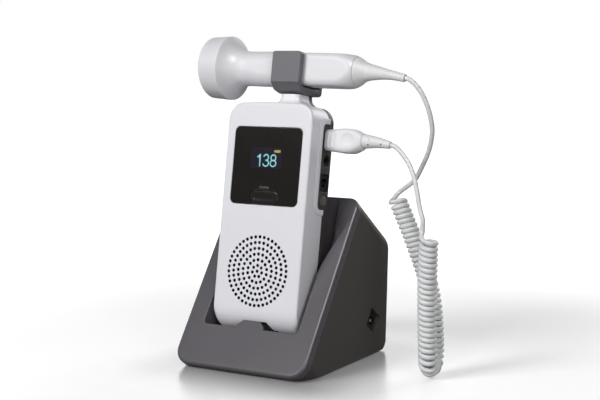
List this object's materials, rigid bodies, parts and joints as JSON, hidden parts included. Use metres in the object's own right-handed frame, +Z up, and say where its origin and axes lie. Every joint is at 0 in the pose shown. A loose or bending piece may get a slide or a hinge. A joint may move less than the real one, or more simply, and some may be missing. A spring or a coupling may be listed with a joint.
{
  "type": "fetal doppler",
  "caption": "Hand-held fetal doppler in a sloped charging cradle, with a round-headed probe in a top holder and a plugged curly cord.",
  "frame": {"origin": "on the table, under the middle of the box round everything but the cord and its plug", "axes": "+Z up; +X to the right of a person facing the display, the side that the cord leaves; +Y from the front to the back"},
  "size_m": [0.1683, 0.1102, 0.2027],
  "materials": {
    "cover_grey": "fine matt grey",
    "shell_dark": "fine matt dark grey",
    "shell_white": "satin white",
    "window_black": "glossy black",
    "display_dark": "dark display",
    "jack_black": "black",
    "foot_rubber": "soft",
    "cord_jacket": "light grey jacket",
    "boot_soft": "warm white",
    "circuit_board": "green board",
    "screw_steel": "plated",
    "contact_gold": "gold plated",
    "speaker_black": "paper cone",
    "crystal": "fired",
    "damper": "filled",
    "battery": "wrapped"
  },
  "bodies": {
    "cradle": {"cradle_base_plate": "shell_dark", "cradle_circuit_board": "circuit_board", "foot_1": "foot_rubber", "foot_2": "foot_rubber", "foot_3": "foot_rubber", "foot_4": "foot_rubber", "base_screw_1": "screw_steel", "base_screw_2": "screw_steel", "base_screw_3": "screw_steel", "base_screw_4": "screw_steel", "cradle_front_cover": "cover_grey", "cradle_rear_shell": "shell_dark", "cradle_dc_jack": "jack_black", "cradle_jack_pin": "screw_steel", "contact_block": "jack_black"},
    "handset": {"curly_cord": "cord_jacket", "lead_from_probe": "cord_jacket", "lead_to_plug": "cord_jacket", "handset_front_shell": "shell_white", "handset_rear_shell": "shell_dark", "display_window": "window_black", "display_module": "display_dark", "main_circuit_board": "circuit_board", "speaker_basket": "screw_steel", "speaker_cone": "speaker_black", "battery_pack": "battery", "battery_door": "shell_dark", "battery_door_screw": "screw_steel", "probe_socket": "jack_black", "headphone_jack": "jack_black", "handset_dc_jack": "jack_black", "charge_pad_left": "contact_gold", "charge_pad_right": "contact_gold", "probe_holder": "cover_grey", "holder_screw": "screw_steel", "board_screw_1": "screw_steel", "board_screw_2": "screw_steel", "board_screw_3": "screw_steel", "board_screw_4": "screw_steel"},
    "probe": {"probe_head_shell": "shell_white", "probe_handle_shell": "shell_white", "acoustic_face": "boot_soft", "crystal_disc": "crystal", "damping_block": "damper", "probe_circuit_board": "circuit_board", "probe_strain_relief": "boot_soft"},
    "plug": {"plug_body": "shell_white", "plug_nose": "jack_black", "plug_strain_relief": "boot_soft"},
    "power_key": {"power_key": "window_black"},
    "side_button": {"side_button": "shell_dark"},
    "contact_pin_left": {"contact_pin_left": "contact_gold"},
    "contact_pin_right": {"contact_pin_right": "contact_gold"}
  },
  "joints": [
    {"name": "handset_lift", "type": "slide", "parent": "cradle", "child": "handset", "axis": [0, 0.1685, 0.9857], "range_m": [0, 0.1]},
    {"name": "probe_lift", "type": "slide", "parent": "handset", "child": "probe", "axis": [0, 0.1685, 0.9857], "range_m": [0, 0.03], "deforming": ["lead_from_probe"]},
    {"name": "plug_pull", "type": "slide", "parent": "handset", "child": "plug", "axis": [1, 0, 0], "range_m": [0, 0.012], "deforming": ["lead_to_plug"]},
    {"name": "power_key_press", "type": "slide", "parent": "handset", "child": "power_key", "axis": [0, 0.9857, -0.1685], "range_m": [0, 0.0008], "stiffness_N_per_m": 1500, "springref_m": -0.0005},
    {"name": "side_button_press", "type": "slide", "parent": "handset", "child": "side_button", "axis": [-1, 0, 0], "range_m": [0, 0.0006], "stiffness_N_per_m": 1500, "springref_m": -0.0005},
    {"name": "contact_pin_left_press", "type": "slide", "parent": "cradle", "child": "contact_pin_left", "axis": [0, -0.1685, -0.9857], "range_m": [0, 0.0009], "stiffness_N_per_m": 400, "springref_m": -0.0005},
    {"name": "contact_pin_right_press", "type": "slide", "parent": "cradle", "child": "contact_pin_right", "axis": [0, -0.1685, -0.9857], "range_m": [0, 0.0009], "stiffness_N_per_m": 400, "springref_m": -0.0005}
  ]
}
